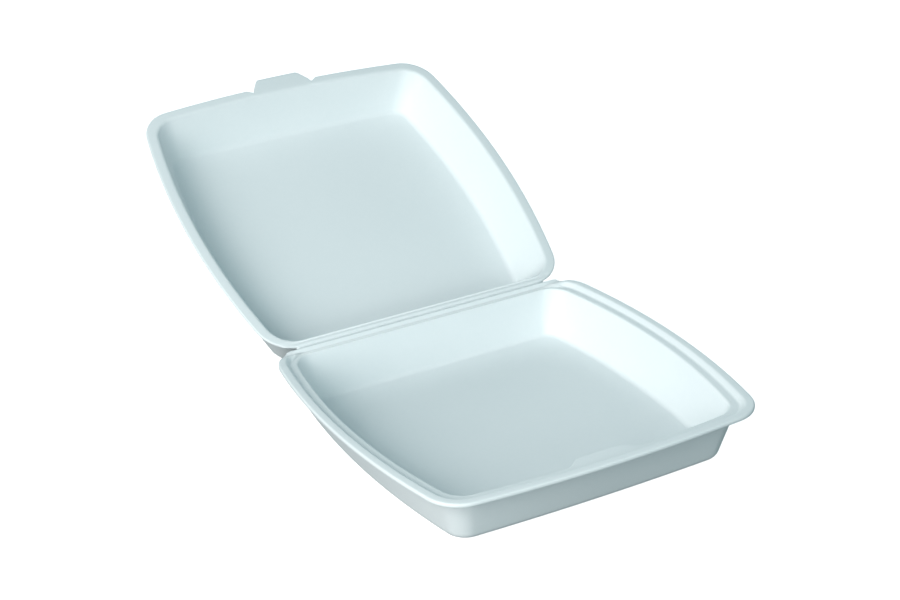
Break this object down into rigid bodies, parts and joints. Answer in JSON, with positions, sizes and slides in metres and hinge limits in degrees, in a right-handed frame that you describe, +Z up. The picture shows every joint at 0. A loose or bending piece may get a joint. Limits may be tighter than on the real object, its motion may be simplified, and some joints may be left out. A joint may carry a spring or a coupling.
{
  "type": "foam clamshell container",
  "caption": "Hinged foam food container standing open: a shallow tray with a stepped rim and swollen sides, and a matching lid with a lock tab, joined along a straight crease.",
  "frame": {"origin": "on the tray's underside, below the middle of its rim, at the surface it stands on", "axes": "+X along the crease, +Y from the tray's front edge towards the crease and the lid, +Z up"},
  "size_m": [0.24, 0.41, 0.1311],
  "materials": {
    "foam": "matte expanded foam with a faint bead grain"
  },
  "bodies": {
    "base": {"base_tray": "foam"},
    "lid": {"lid": "foam"}
  },
  "joints": [
    {"name": "lid_hinge", "type": "hinge", "parent": "base", "child": "lid", "pos_m": [0, 0.107, 0.03615], "axis": [1, 0, 0], "range_deg": [-25, 154]}
  ]
}
